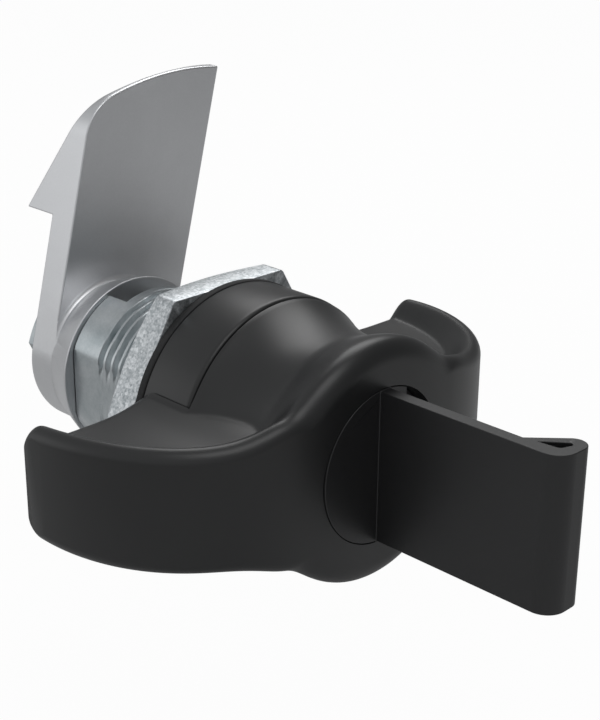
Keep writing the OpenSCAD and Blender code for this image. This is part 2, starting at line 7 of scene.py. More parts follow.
import logging
import math
from dataclasses import dataclass
from enum import Enum

import bmesh
import bpy
import numpy as np
from mathutils import Matrix, Vector


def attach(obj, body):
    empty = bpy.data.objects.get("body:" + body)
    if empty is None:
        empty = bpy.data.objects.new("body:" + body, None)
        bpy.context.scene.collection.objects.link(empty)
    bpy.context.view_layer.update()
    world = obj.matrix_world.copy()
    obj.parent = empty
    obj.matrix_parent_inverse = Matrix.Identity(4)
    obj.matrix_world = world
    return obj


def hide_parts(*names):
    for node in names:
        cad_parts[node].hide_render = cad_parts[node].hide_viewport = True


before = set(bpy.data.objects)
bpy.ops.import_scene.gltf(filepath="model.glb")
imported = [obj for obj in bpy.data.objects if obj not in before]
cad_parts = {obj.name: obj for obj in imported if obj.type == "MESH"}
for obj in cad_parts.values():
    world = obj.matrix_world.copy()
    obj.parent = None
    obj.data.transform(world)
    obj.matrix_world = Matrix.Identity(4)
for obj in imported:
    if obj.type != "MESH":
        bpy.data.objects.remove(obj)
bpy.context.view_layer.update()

Piece, Material = bpy.types.Object, bpy.types.Material
Tree, Socket = bpy.types.NodeTree, bpy.types.NodeSocket
MM = 0.001
LOG = logging.getLogger("cam_latch")
TURN_STEPS = 240  # places round the axis on a turned piece


class Body(Enum):
    """The bodies that new pieces ride on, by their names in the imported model."""

    MOUNT = "mount_body"
    HANDLE = "handle"
    KEY = "key"


class Join(Enum):
    """How one closed mesh is combined with another."""

    CUT = "DIFFERENCE"
    COMMON = "INTERSECT"
    FUSE = "UNION"


# Shapes


def ring_quads(rows: int, cols: int, closed: bool) -> np.ndarray:
    """Corner numbers of the quads between neighbouring rings of a grid.

    Args:
        rows: Number of rings.
        cols: Number of points on each ring, which is always closed.
        closed: Whether the last ring joins the first.

    Returns:
        One row of four point numbers for each quad.
    """
    ring, point = np.meshgrid(np.arange(rows if closed else rows - 1), np.arange(cols), indexing="ij")
    next_ring, next_point = (ring + 1) % rows, (point + 1) % cols
    corners = [(ring, point), (ring, next_point), (next_ring, next_point), (next_ring, point)]
    return np.stack([r * cols + p for r, p in corners], -1).reshape(-1, 4)


def skin(name: str, rings: np.ndarray, closed: bool = False) -> Piece:
    """Lays a closed skin over a grid of points, ring by ring.

    Args:
        name: Name of the new piece.
        rings: Points in millimetres, shaped (rings, points, 3).
        closed: Whether the last ring joins the first. Otherwise the end rings get caps.

    Returns:
        The new object, whose faces point outwards.
    """
    rows, cols = rings.shape[:2]
    faces = ring_quads(rows, cols, closed).tolist()
    if not closed:
        faces += [list(range(cols)), list(range((rows - 1) * cols, rows * cols))]
    mesh = bpy.data.meshes.new(name)
    mesh.from_pydata((rings.reshape(-1, 3) * MM).tolist(), [], faces)
    shell = bmesh.new()
    shell.from_mesh(mesh)
    bmesh.ops.recalc_face_normals(shell, faces=shell.faces)
    shell.to_mesh(mesh)
    shell.free()
    piece = bpy.data.objects.new(name, mesh)
    bpy.context.scene.collection.objects.link(piece)
    return piece


def full_turn(steps: int) -> np.ndarray:
    """Angles in radians, evenly spread over one turn."""
    return np.linspace(0, 2 * np.pi, steps, endpoint=False)


def round_axis(radius: np.ndarray, depth: np.ndarray, angle: np.ndarray) -> np.ndarray:
    """Points about the Y axis, x = r cos(a) and z = r sin(a), with the angle in radians."""
    return np.stack([radius * np.cos(angle), depth + 0 * angle, radius * np.sin(angle)], -1)


def turned(name: str, profile: np.ndarray) -> Piece:
    """Turns a closed profile of points (radius, y), none of them on the axis, about the Y axis."""
    rings = round_axis(profile[None, :, 0], profile[None, :, 1], full_turn(TURN_STEPS)[:, None])
    return skin(name, rings, closed=True)


def spun(name: str, profile: np.ndarray) -> Piece:
    """Turns an open profile of points (radius, y) about the Y axis, with a flat end at each end."""
    return skin(name, round_axis(profile[:, :1], profile[:, 1:], full_turn(TURN_STEPS)[None]))


def prism(name: str, outline: np.ndarray, low: float, high: float, along: int) -> Piece:
    """Extrudes a closed outline between two places on one axis.

    Args:
        name: Name of the new piece.
        outline: Points in the plane of the other two axes, in X, Y, Z order.
        low: Where the extrusion starts.
        high: Where it ends.
        along: Number of the extrusion's axis, 0 for X to 2 for Z.

    Returns:
        The extruded piece, with flat ends.
    """
    ends = [np.insert(outline, along, place, axis=1) for place in (low, high)]
    return skin(name, np.stack(ends))


def rectangle(low: tuple[float, float], high: tuple[float, float]) -> np.ndarray:
    """The corners of a rectangle, from its low corner and round."""
    return np.array([low, (high[0], low[1]), high, (low[0], high[1])])


def turn_mesh(piece: Piece, degrees: float) -> None:
    """Turns a piece's mesh about the Y axis."""
    piece.data.transform(Matrix.Rotation(math.radians(degrees), 4, "Y"))


def arc(centre: tuple[float, float], radius: float, start: float, stop: float, steps: int = 16) -> np.ndarray:
    """Points on an arc: centre + radius (cos a, sin a), with a in degrees from start to stop."""
    angle = np.radians(np.linspace(start, stop, steps + 1))
    return np.stack([centre[0] + radius * np.cos(angle), centre[1] + radius * np.sin(angle)], -1)


def rounded(points: list[tuple[float, float]], radii: list[float], steps: int = 5) -> np.ndarray:
    """Rounds the corners of a closed outline.

    At each corner the arc's ends lie at radius / tan(half the corner) from it, and its points follow
    a quadratic curve between them, which is close to a circle on the small radii used here.

    Args:
        points: The outline's corners.
        radii: A radius for each corner, 0 for a sharp one.
        steps: Number of steps in each round.

    Returns:
        The points of the rounded outline.
    """
    corner = np.array(points, float)
    before, after = np.roll(corner, 1, 0) - corner, np.roll(corner, -1, 0) - corner
    before /= np.linalg.norm(before, axis=1)[:, None]
    after /= np.linalg.norm(after, axis=1)[:, None]
    half = np.arccos(np.clip((before * after).sum(1), -1, 1)) / 2
    reach = (np.array(radii) / np.tan(np.maximum(half, 1e-3)))[:, None]
    share = np.linspace(0, 1, steps + 1)[None, :, None]
    start, stop = (corner + before * reach)[:, None], (corner + after * reach)[:, None]
    curve = (1 - share) ** 2 * start + 2 * share * (1 - share) * corner[:, None] + share**2 * stop
    kept = [curve[i] if radii[i] > 0 else corner[i : i + 1] for i in range(len(corner))]
    return np.concatenate(kept)


def settle(piece: Piece) -> Piece:
    """Applies a piece's modifiers to its mesh.

    Args:
        piece: The piece, which keeps its name.

    Returns:
        The same piece.
    """
    finished = piece.evaluated_get(bpy.context.evaluated_depsgraph_get())
    mesh = bpy.data.meshes.new_from_object(finished)
    mesh.name = piece.name
    piece.modifiers.clear()
    piece.data = mesh
    return piece


def combine(piece: Piece, tool: Piece, join: Join) -> Piece:
    """Cuts, intersects or fuses a piece with a tool.

    Args:
        piece: The piece to work on.
        tool: A closed piece, which is used up.
        join: What the tool does to the piece.

    Returns:
        The same piece.
    """
    step = piece.modifiers.new("combine", "BOOLEAN")
    step.object, step.operation, step.solver = tool, join.value, "EXACT"
    settle(piece)
    bpy.data.objects.remove(tool)
    return piece


def shade(piece: Piece, sharp_from: float) -> Piece:
    """Shades a piece smooth, apart from edges sharper than an angle in degrees, and returns it."""
    piece.data.shade_smooth()
    piece.data.set_sharp_from_angle(angle=math.radians(sharp_from))
    return piece


def even(piece: Piece, sharp_from: float) -> Piece:
    """Shades a piece smooth as shade does, with normals that keep its large faces flat."""
    step = shade(piece, sharp_from).modifiers.new("even", "WEIGHTED_NORMAL")
    step.keep_sharp, step.weight = True, 100
    return settle(piece)


def soften(piece: Piece, width: float, sharp_from: float = 35) -> Piece:
    """Rounds the sharp edges of a piece, as a mould or a tumbling drum leaves them.

    Args:
        piece: The piece, with clean flat and curved faces.
        width: Width of the round in millimetres.
        sharp_from: The least angle between two faces, in degrees, that gets a round.

    Returns:
        The piece.
    """
    step = piece.modifiers.new("soften", "BEVEL")
    step.width, step.segments = width * MM, 3
    step.limit_method, step.angle_limit = "ANGLE", math.radians(sharp_from)
    step.use_clamp_overlap = False
    return shade(settle(piece), 50)


# Finishes


def linear(hex_colour: str) -> tuple[float, float, float, float]:
    """Turns an sRGB hex colour such as #2b2b2c into linear red, green, blue and alpha."""
    parts = [int(hex_colour[i : i + 2], 16) / 255 for i in (1, 3, 5)]
    return (*[c / 12.92 if c <= 0.04045 else ((c + 0.055) / 1.055) ** 2.4 for c in parts], 1.0)


def per_mm(size: float) -> float:
    """Scale of a pattern, in repeats per metre, whose features are size millimetres across."""
    return 1 / (size * MM)


def add_node(tree: Tree, kind: str, values: dict | None = None, links: dict | None = None,
             **settings: object) -> bpy.types.Node:
    """Adds a node to a material, with its settings and links.

    Args:
        tree: The material's node tree.
        kind: Blender's name for the node type.
        values: Constant for each named or numbered input socket.
        links: Output socket that feeds each named or numbered input socket.
        **settings: Properties of the node itself.

    Returns:
        The new node.
    """
    node = tree.nodes.new(kind)
    for name, value in settings.items():
        setattr(node, name, value)
    for socket, value in (values or {}).items():
        node.inputs[socket].default_value = value
    for socket, source in (links or {}).items():
        tree.links.new(source, node.inputs[socket])
    return node


def new_material(name: str) -> tuple[Material, Tree, Socket]:
    """Makes an empty material.

    Args:
        name: Name of the material, which says what it is made of.

    Returns:
        The material, its node tree and the socket of its Object coordinates.
    """
    material = bpy.data.materials.new(name)
    material.use_nodes = True
    material.node_tree.nodes.clear()
    place = add_node(material.node_tree, "ShaderNodeTexCoord")
    return material, material.node_tree, place.outputs["Object"]


def noise(tree: Tree, coords: Socket, size: float, detail: float, **values: float) -> Socket:
    """Adds cloudy noise whose features are size millimetres across, and returns its value."""
    constants = {"Scale": per_mm(size), "Detail": detail, **values}
    return add_node(tree, "ShaderNodeTexNoise", constants, {"Vector": coords}).outputs["Fac"]


def maths(tree: Tree, operation: str, *terms: object) -> Socket:
    """Works out and returns a value from terms that are sockets or numbers."""
    values = {i: term for i, term in enumerate(terms) if isinstance(term, float)}
    links = {i: term for i, term in enumerate(terms) if i not in values}
    return add_node(tree, "ShaderNodeMath", values, links, operation=operation).outputs["Value"]


def remap(tree: Tree, source: Socket, to: tuple[float, float], start: float = 0.0, stop: float = 1.0,
          **settings: str) -> Socket:
    """Maps a value that runs from start to stop onto the range to, and returns the new value."""
    ends = {"From Min": start, "From Max": stop, "To Min": to[0], "To Max": to[1]}
    return add_node(tree, "ShaderNodeMapRange", ends, {"Value": source}, **settings).outputs["Result"]


def relief(tree: Tree, height: Socket, strength: float, depth: float) -> Socket:
    """Adds a bump that is depth millimetres high, and returns its normal."""
    constants = {"Strength": strength, "Distance": depth * MM}
    return add_node(tree, "ShaderNodeBump", constants, {"Height": height}).outputs["Normal"]


def blend_colours(tree: Tree, share: Socket, first: str, second: str, low: float, high: float) -> Socket:
    """Runs from one hex colour to another as share goes from low to high, and returns the colour."""
    ramp = add_node(tree, "ShaderNodeValToRGB", links={"Fac": share})
    ramp.color_ramp.elements[0].position, ramp.color_ramp.elements[0].color = low, linear(first)
    ramp.color_ramp.elements[1].position, ramp.color_ramp.elements[1].color = high, linear(second)
    return ramp.outputs["Color"]


def surface(tree: Tree, values: dict, links: dict) -> None:
    """Ends a material in one Principled shader, with its constants on the shader's own sockets."""
    shader = add_node(tree, "ShaderNodeBsdfPrincipled", values, links)
    add_node(tree, "ShaderNodeOutputMaterial", links={"Surface": shader.outputs["BSDF"]})


@dataclass(frozen=True)
class MouldedNylon:
    """Glass-filled nylon from an etched steel mould: satin black, with a fine even grain."""

    name: str = "glass_filled_nylon"
    dark: str = "#141415"
    light: str = "#191a1a"
    roughness: float = 0.37
    etch: float = 0.16  # grain of the etched mould, drawn twice as coarse as it is so that it shows
    etch_depth: float = 0.006
    flow: float = 11.0  # width of the slow changes of tone that the melt leaves
    ior: float = 1.53

    def material(self) -> Material:
        """Builds the material: flow marks tint it, and the mould's grain breaks the gloss."""
        material, tree, coords = new_material(self.name)
        flow, grain = noise(tree, coords, self.flow, 3.0), noise(tree, coords, self.etch, 2.0)
        surface(tree, {"IOR": self.ior},
                {"Base Color": blend_colours(tree, flow, self.dark, self.light, 0.3, 0.7),
                 "Roughness": remap(tree, grain, (self.roughness - 0.04, self.roughness + 0.05)),
                 "Normal": relief(tree, grain, 0.35, self.etch_depth)})
        return material


@dataclass(frozen=True)
class MouldedRubber:
    """Nitrile rubber, pressed in a mould: dull black with a dusty bloom."""

    name: str = "nitrile_rubber"
    dark: str = "#161617"
    bloom: str = "#232324"
    roughness: float = 0.78
    pore: float = 0.4  # width of the pores of the moulded skin
    pore_depth: float = 0.01
    ior: float = 1.52

    def material(self) -> Material:
        """Builds the material: the pores carry the bloom and a slight bump."""
        material, tree, coords = new_material(self.name)
        pores = noise(tree, coords, self.pore, 4.0)
        surface(tree, {"Roughness": self.roughness, "IOR": self.ior},
                {"Base Color": blend_colours(tree, pores, self.dark, self.bloom, 0.35, 0.75),
                 "Normal": relief(tree, pores, 0.4, self.pore_depth)})
        return material


@dataclass(frozen=True)
class CastMetal:
    """Zinc die casting with a thin plated skin: its gloss and tone change in soft patches."""

    name: str
    dark: str
    light: str
    gloss: float
    dull: float
    patch: float  # width of the patches of tone
    grain: float  # width of the fine grain in the skin
    grain_depth: float = 0.004
    grain_tone: float = 0.3  # how far the grain changes the tone

    def material(self) -> Material:
        """Builds the material: patches set tone and gloss, and the grain is a slight bump."""
        material, tree, coords = new_material(self.name)
        patch = noise(tree, coords, self.patch, 5.0, Roughness=0.55, Distortion=0.6)
        grain = noise(tree, coords, self.grain, 3.0)
        both = maths(tree, "MULTIPLY_ADD", grain, self.grain_tone, patch)
        surface(tree, {"Metallic": 1.0},
                {"Base Color": blend_colours(tree, both, self.dark, self.light, 0.4, 0.95),
                 "Roughness": remap(tree, patch, (self.gloss, self.dull), 0.3, 0.7),
                 "Normal": relief(tree, grain, 0.5, self.grain_depth)})
        return material


@dataclass(frozen=True)
class GalvanisedZinc:
    """Hot-dipped zinc on steel: a speckle of small crystals, each with its own tone and gloss."""

    name: str = "galvanised_zinc"
    dark: str = "#989ea1"
    light: str = "#d8dbdd"
    crystal: float = 0.36  # width of one zinc crystal
    crystal_tone: float = 0.35  # how far the crystals change the tone
    crystal_depth: float = 0.012
    gloss: float = 0.36
    dull: float = 0.5

    def material(self) -> Material:
        """Builds the material: a cell pattern of crystals over a cloudy ground."""
        material, tree, coords = new_material(self.name)
        cells = add_node(tree, "ShaderNodeTexVoronoi", {"Scale": per_mm(self.crystal), "Randomness": 1.0},
                         {"Vector": coords})
        tone = add_node(tree, "ShaderNodeSeparateColor", links={"Color": cells.outputs["Color"]})
        cloud = noise(tree, coords, self.crystal * 0.8, 4.0)
        both = maths(tree, "MULTIPLY_ADD", tone.outputs["Red"], self.crystal_tone, cloud)
        surface(tree, {"Metallic": 1.0},
                {"Base Color": blend_colours(tree, both, self.dark, self.light, 0.4, 0.95),
                 "Roughness": remap(tree, tone.outputs["Green"], (self.gloss, self.dull)),
                 "Normal": relief(tree, both, 0.4, self.crystal_depth)})
        return material


@dataclass(frozen=True)
class TurnedMetal:
    """Bar stock turned on a lathe: fine rings across the axis catch the light in lines."""

    name: str
    dark: str
    light: str
    roughness: float
    feed: float = 0.25  # pitch of the tool's rings, drawn coarser than 0.1 mm so that it shows
    ring_depth: float = 0.003
    marks: float = 2.5  # width of the marks that handling leaves

    def material(self) -> Material:
        """Builds the material: bands along Y for the rings, and a cloud for handling marks.

        A band repeats every 2 pi / 20 of the wave's scale."""
        material, tree, coords = new_material(self.name)
        bands = {"Scale": per_mm(self.feed) * 2 * math.pi / 20, "Distortion": 0.4, "Detail": 2.0}
        rings = add_node(tree, "ShaderNodeTexWave", bands, {"Vector": coords},
                         wave_type="BANDS", bands_direction="Y")
        cloud = noise(tree, coords, self.marks, 4.0)
        surface(tree, {"Metallic": 1.0},
                {"Base Color": blend_colours(tree, cloud, self.dark, self.light, 0.3, 0.7),
                 "Roughness": remap(tree, cloud, (self.roughness - 0.05, self.roughness + 0.1)),
                 "Normal": relief(tree, rings.outputs["Fac"], 0.3, self.ring_depth)})
        return material


# Knob and collar: satin black, with soft broad highlights. The key is a shade duller than the knob.
NYLON = MouldedNylon()
KEY_NYLON = MouldedNylon(name="glass_filled_nylon_key", dark="#161617", light="#1b1b1c", roughness=0.42)
# Thrust washer: smooth, cream and slightly waxy
ACETAL = MouldedNylon(name="acetal", dark="#d2cfc4", light="#dedbd0", roughness=0.35)
# Gasket and O-rings: duller and dustier than the plastic next to them
RUBBER = MouldedRubber()
# Housing: a bright, slightly blue plating. Cam: an even silver grey with a soft sheen.
PLATED_ZINC = CastMetal("plated_zinc_casting", "#a2aaad", "#ccd0d2", 0.28, 0.38, 4.2, 0.3)
SATIN_ZINC = CastMetal("tumbled_zinc_casting", "#cacbcd", "#d8d9db", 0.33, 0.39, 12.0, 0.22)
# Lock barrel: bare, dull and darker. Lock plug: near black, as painted shade for the recess of the knob's
# mouth where its face shows, with a faint sheen of metal.
PLAIN_ZINC = CastMetal("plain_zinc_casting", "#7f7b76", "#9c9891", 0.4, 0.55, 4.0, 0.3)
PLUG_ZINC_PAINTED_SHADE = CastMetal("zinc_casting_darkened_as_painted_shade", "#2c2c2d", "#3a3a3b", 0.34, 0.46, 4.0, 0.3)
# Nut: a speckle of light and dark crystals
GALVANISED = GalvanisedZinc()
# Spindle and blade: bright fine rings. Screws: bluer. Springs: dark and oiled. Wafers: warm yellow.
TURNED_STEEL = TurnedMetal("turned_steel", "#c9cccd", "#e2e4e5", 0.24)
PLATED_STEEL = TurnedMetal("zinc_plated_steel", "#9aa1a4", "#bcc1c3", 0.32)
SPRING_STEEL = TurnedMetal("spring_steel", "#63686b", "#7d8285", 0.3)
BRASS = TurnedMetal("stamped_brass", "#a98a4a", "#c4a663", 0.3)


def place(piece: Piece, body: Body, slot: str, material: Material, *nodes: str) -> None:
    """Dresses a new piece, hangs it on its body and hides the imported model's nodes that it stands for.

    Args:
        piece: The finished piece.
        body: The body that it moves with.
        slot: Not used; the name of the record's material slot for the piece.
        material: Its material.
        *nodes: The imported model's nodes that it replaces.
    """
    piece.data.materials.clear()
    piece.data.materials.append(material)
    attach(piece, body.value)
    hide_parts(*nodes)
    LOG.info("%s rides on %s, %d faces", piece.name, body.value, len(piece.data.polygons))


def dress(material: Material, *nodes: str) -> None:
    """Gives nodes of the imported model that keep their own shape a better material.

    Args:
        material: The new material.
        *nodes: The nodes' names.
    """
    for node in nodes:
        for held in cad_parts[node].material_slots:
            held.material = material
        LOG.info("%s keeps its shape, in %s", node, material.name)


# Sub-assemblies


@dataclass
class PanelSeat:
    """The fixed pieces: threaded housing, collar, gasket, nut and thrust washer."""

    sleeve_r: float = 11.0
    sleeve_flats: float = 20.1
    flat_power: float = 70.0
    sleeve_len: float = 17.95
    thread_pitch: float = 1.4
    thread_depth: float = 0.78
    thread_start: float = 3.2
    thread_end: float = 13.4
    thread_slope: float = 2.6
    crest_share: float = 0.75
    end_chamfer: float = 0.25
    rim_chamfer: float = 0.15
    sleeve_steps: int = 320
    bore_r: float = 8.05
    cup_r: float = 12.4
    cup_floor: float = -3.4
    rear_recess_r: float = 9.2
    rear_shoulder: float = 9.4
    notch_from: float = 2.0
    notch_to: float = 112.0
    notch_floor: float = 14.4
    flange_r: float = 14.4
    flange_front: float = -8.3
    bolt_slot_half: float = 4.2
    bolt_slot_end: float = -5.6
    collar_r: float = 15.35
    collar_front: float = -8.6
    collar_back: float = -1.03
    lip_r: float = 12.6
    gasket_r: float = 15.45
    gasket_bore_r: float = 11.1
    nut_flats: float = 30.0
    nut_t: float = 4.1
    nut_chamfer: float = 1.1
    nut_chamfer_r: float = 17.6

    def thread_radius(self, angle: np.ndarray, depth: np.ndarray) -> np.ndarray:
        """Outer radius of the sleeve.

        The thread's share runs from 0 on the crest to 1 at the root, as a triangle wave of
        y / pitch - angle / turn with flattened tops, and fades in and out over one pitch. The radius
        is the crest less that share of the depth. A power mean of it and the two flats' distance,
        half the width / |cos(angle)|, leaves a soft edge between the round and the flats.

        Args:
            angle: Angles about the axis in radians, from +X towards +Z.
            depth: Places along Y.

        Returns:
            The radius at each angle and place.
        """
        turn = (depth / self.thread_pitch - angle / (2 * np.pi)) % 1
        wave = np.clip(self.thread_slope * (1 - 2 * np.abs(turn - 0.5)) - self.crest_share, 0, 1)
        fade_in = np.clip((depth - self.thread_start) / self.thread_pitch, 0, 1)
        fade_out = np.clip((self.thread_end - depth) / (0.5 * self.thread_pitch), 0, 1)
        radius = self.sleeve_r - self.thread_depth * wave * fade_in * fade_out
        flat = self.sleeve_flats / 2 / np.maximum(np.abs(np.cos(angle)), 0.2)
        return (radius**-self.flat_power + flat**-self.flat_power) ** (-1 / self.flat_power)

    def housing(self) -> Piece:
        """The casting: a cup in front, then the threaded sleeve with its bore and stop notch.

        The outline is carried round the axis, and its radius on the sleeve comes from
        thread_radius, so that the thread and the flats are one surface.

        Returns:
            The housing.
        """
        angle = full_turn(self.sleeve_steps)[:, None]
        front = [(self.cup_r, self.flange_front), (self.flange_r, self.flange_front),
                 (self.flange_r, self.collar_back), (self.sleeve_r, self.collar_back)]
        past_thread = self.thread_end + 0.3
        along = np.concatenate([np.linspace(self.collar_back, self.thread_start, 6)[1:],
                                np.linspace(self.thread_start, past_thread, 92)[1:],
                                np.linspace(past_thread, self.sleeve_len - self.end_chamfer, 8)[1:]])
        rim_r, recess_r = self.sleeve_r - self.end_chamfer, self.rear_recess_r
        back = [(rim_r, self.sleeve_len), (recess_r + self.rim_chamfer, self.sleeve_len),
                (recess_r, self.sleeve_len - self.rim_chamfer), (recess_r, self.rear_shoulder),
                (self.bore_r, self.rear_shoulder), (self.bore_r, self.cup_floor),
                (self.cup_r, self.cup_floor)]
        outer = self.thread_radius(angle, along[None])
        to_flat = self.sleeve_flats / 2 / np.maximum(np.abs(np.cos(angle)), 1e-3)
        rim = np.minimum(rim_r, to_flat - self.rim_chamfer)
        first = np.array(front)[None].repeat(len(angle), 0)
        first[:, -1, 0] = self.thread_radius(angle, np.array([[self.collar_back]]))[:, 0]
        last = np.array(back)[None].repeat(len(angle), 0)
        last[:, 0, 0] = rim[:, 0]
        middle = np.stack([outer, along[None].repeat(len(angle), 0)], -1)
        profile = np.concatenate([first, middle, last], 1)
        piece = skin("housing_casting", round_axis(profile[..., 0], profile[..., 1], angle), closed=True)
        edge = arc((0, 0), 40, self.notch_from, self.notch_to, 8)
        notch = prism("notch", np.concatenate([[[0, 0]], edge]), self.notch_floor, self.sleeve_len + 1, 1)
        combine(piece, notch, Join.CUT)
        return shade(self.bolt_slots(piece, self.flange_r + 1), 30)

    def bolt_slots(self, piece: Piece, reach: float) -> Piece:
        """Cuts the locking bolt's two slots, one at each end of the quarter turn.

        Args:
            piece: The piece that the bolt runs into.
            reach: How far from the axis the slots go.

        Returns:
            The piece.
        """
        half = self.bolt_slot_half
        lean = math.degrees(math.asin(half / reach))
        upright = np.concatenate([[(-half, 5.0), (half, 5.0)], arc((0, 0), reach, 90 - lean, 90 + lean)])
        for outline in (upright, upright[:, ::-1] * (-1, 1)):
            combine(piece, prism("slot", outline, self.collar_front - 1, self.bolt_slot_end, 1), Join.CUT)
        return piece

    def collar(self) -> Piece:
        """The black ring round the housing's flange, with small rounds on its edges.

        Returns:
            The collar.
        """
        inner = self.flange_r + 0.05
        corners = [(self.lip_r, self.collar_front), (self.collar_r, self.collar_front),
                   (self.collar_r, self.collar_back), (inner, self.collar_back),
                   (inner, self.flange_front), (self.lip_r, self.flange_front)]
        ring = turned("collar_ring", rounded(corners, [0.1, 0.65, 0.25, 0.05, 0, 0.1]))
        return shade(self.bolt_slots(ring, self.flange_r - 0.02), 50)

    def gasket(self) -> Piece:
        """The flat rubber washer, its outer edge a soft bulge where the nut presses it.

        Returns:
            The gasket.
        """
        bulge = 0.22
        corners = rectangle((self.gasket_bore_r, self.collar_back), (self.gasket_r, 0.0))
        return shade(turned("gasket_washer", rounded(corners, [0, bulge, bulge, 0])), 60)

    def nut(self) -> Piece:
        """The hex nut, worked out round the axis.

        The outer radius at an angle is that of a hexagon, apothem / cos(angle from the nearest flat),
        with its six corners slightly rounded. Behind, a cone through the flats' middles cuts the
        corners back: y = thickness - chamfer (radius - apothem) / (cone's reach).

        Returns:
            The nut.
        """
        apothem, edge, corner_cut, bevel, sink = self.nut_flats / 2, 0.16, 0.12, 0.5, 0.4
        angle = full_turn(360)
        off_flat = (angle % (np.pi / 3)) - np.pi / 6
        hexagon = np.minimum(apothem / np.cos(off_flat), apothem / np.cos(np.pi / 6) - corner_cut)
        slope = self.nut_chamfer / (self.nut_chamfer_r - apothem)
        shoulder = self.nut_t - slope * np.maximum(hexagon - apothem, 0)
        bore, flat = self.sleeve_r + 0.05, apothem - 0.3
        one = np.ones(len(angle))
        radii = [bore * one, (bore + bevel) * one, hexagon - edge, hexagon - edge * 0.3, hexagon, hexagon,
                 hexagon - edge * 0.4, hexagon - edge, flat * one, (bore + bevel) * one, bore * one]
        depths = [sink * one, 0 * one, 0 * one, edge * 0.3 * one, edge * one, shoulder - edge,
                  shoulder - edge * 0.3, shoulder + edge * 0.4 * slope, self.nut_t * one, self.nut_t * one,
                  (self.nut_t - bevel) * one]
        radius, depth = np.stack(radii, 1), np.minimum(np.stack(depths, 1), self.nut_t)
        return shade(skin("clamp_nut", round_axis(radius, depth, angle[:, None]), closed=True), 25)

    def build(self) -> None:
        """Builds and dresses the fixed pieces."""
        nylon, rubber = NYLON.material(), RUBBER.material()
        place(self.housing(), Body.MOUNT, "plated_body", PLATED_ZINC.material(), "housing")
        place(self.collar(), Body.MOUNT, "black_plastic", nylon, "collar")
        place(self.gasket(), Body.MOUNT, "black_rubber", rubber, "panel_gasket")
        place(self.nut(), Body.MOUNT, "zinc_nut", GALVANISED.material(), "hex_nut")
        dress(ACETAL.material(), "thrust_washer")
        dress(rubber, "spindle_o_ring", "plug_o_ring")


